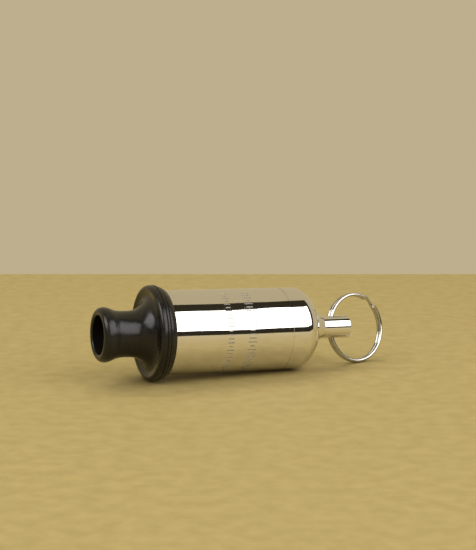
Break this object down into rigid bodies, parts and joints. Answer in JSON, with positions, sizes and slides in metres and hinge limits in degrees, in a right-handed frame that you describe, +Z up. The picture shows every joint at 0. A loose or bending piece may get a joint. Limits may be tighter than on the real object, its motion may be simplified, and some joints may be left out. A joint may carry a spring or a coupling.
{
  "type": "mouth siren whistle",
  "caption": "Round nickel-plated mouth siren with a waisted black mouthpiece, a spinning rotor inside, a domed end cap and a swinging split key ring.",
  "frame": {"origin": "centre of the mouth opening, on the front plane of the lip", "axes": "+X from the mouth along the barrel to the key ring, +Z up; the sound window faces +Y"},
  "size_m": [0.0882, 0.026, 0.026],
  "materials": {
    "black_plastic": "satin moulded black plastic with a soft sheen",
    "nickel_shell": "bright nickel plate on brass tube, mirror polished",
    "nickel_cap": "bright nickel plate on spun brass, mirror polished",
    "nickel_post": "bright nickel plate on turned brass",
    "ring_wire": "nickel-plated spring steel wire",
    "bare_brass": "plain stamped or turned brass",
    "bronze_bush": "sintered bearing bronze",
    "rotor_metal": "stamped aluminium",
    "bare_steel": "ground steel"
  },
  "bodies": {
    "shell": {"mouthpiece": "black_plastic", "barrel": "nickel_shell", "end_cap": "nickel_cap", "ring_post": "nickel_post", "rivet_washer": "bare_brass", "stator_plate": "bare_brass", "front_bush": "bronze_bush", "front_thrust_washer": "bare_steel", "spacer_sleeve": "bare_brass", "rear_thrust_washer": "bare_steel", "rear_bridge": "bare_brass", "rear_bush": "bronze_bush", "spring_clip": "bare_steel"},
    "rotor": {"rotor_disc": "rotor_metal", "rotor_hub": "bare_brass", "rotor_spindle": "bare_steel"},
    "key_ring": {"split_ring": "ring_wire"}
  },
  "joints": [
    {"name": "rotor_spin", "type": "hinge", "parent": "shell", "child": "rotor", "pos_m": [0.0278, 0, 0], "axis": [1, 0, 0], "continuous": true},
    {"name": "ring_swing", "type": "hinge", "parent": "shell", "child": "key_ring", "pos_m": [0.0693, 0, 0], "axis": [0, 0.2079, 0.9781], "range_deg": [-138, 108]}
  ]
}
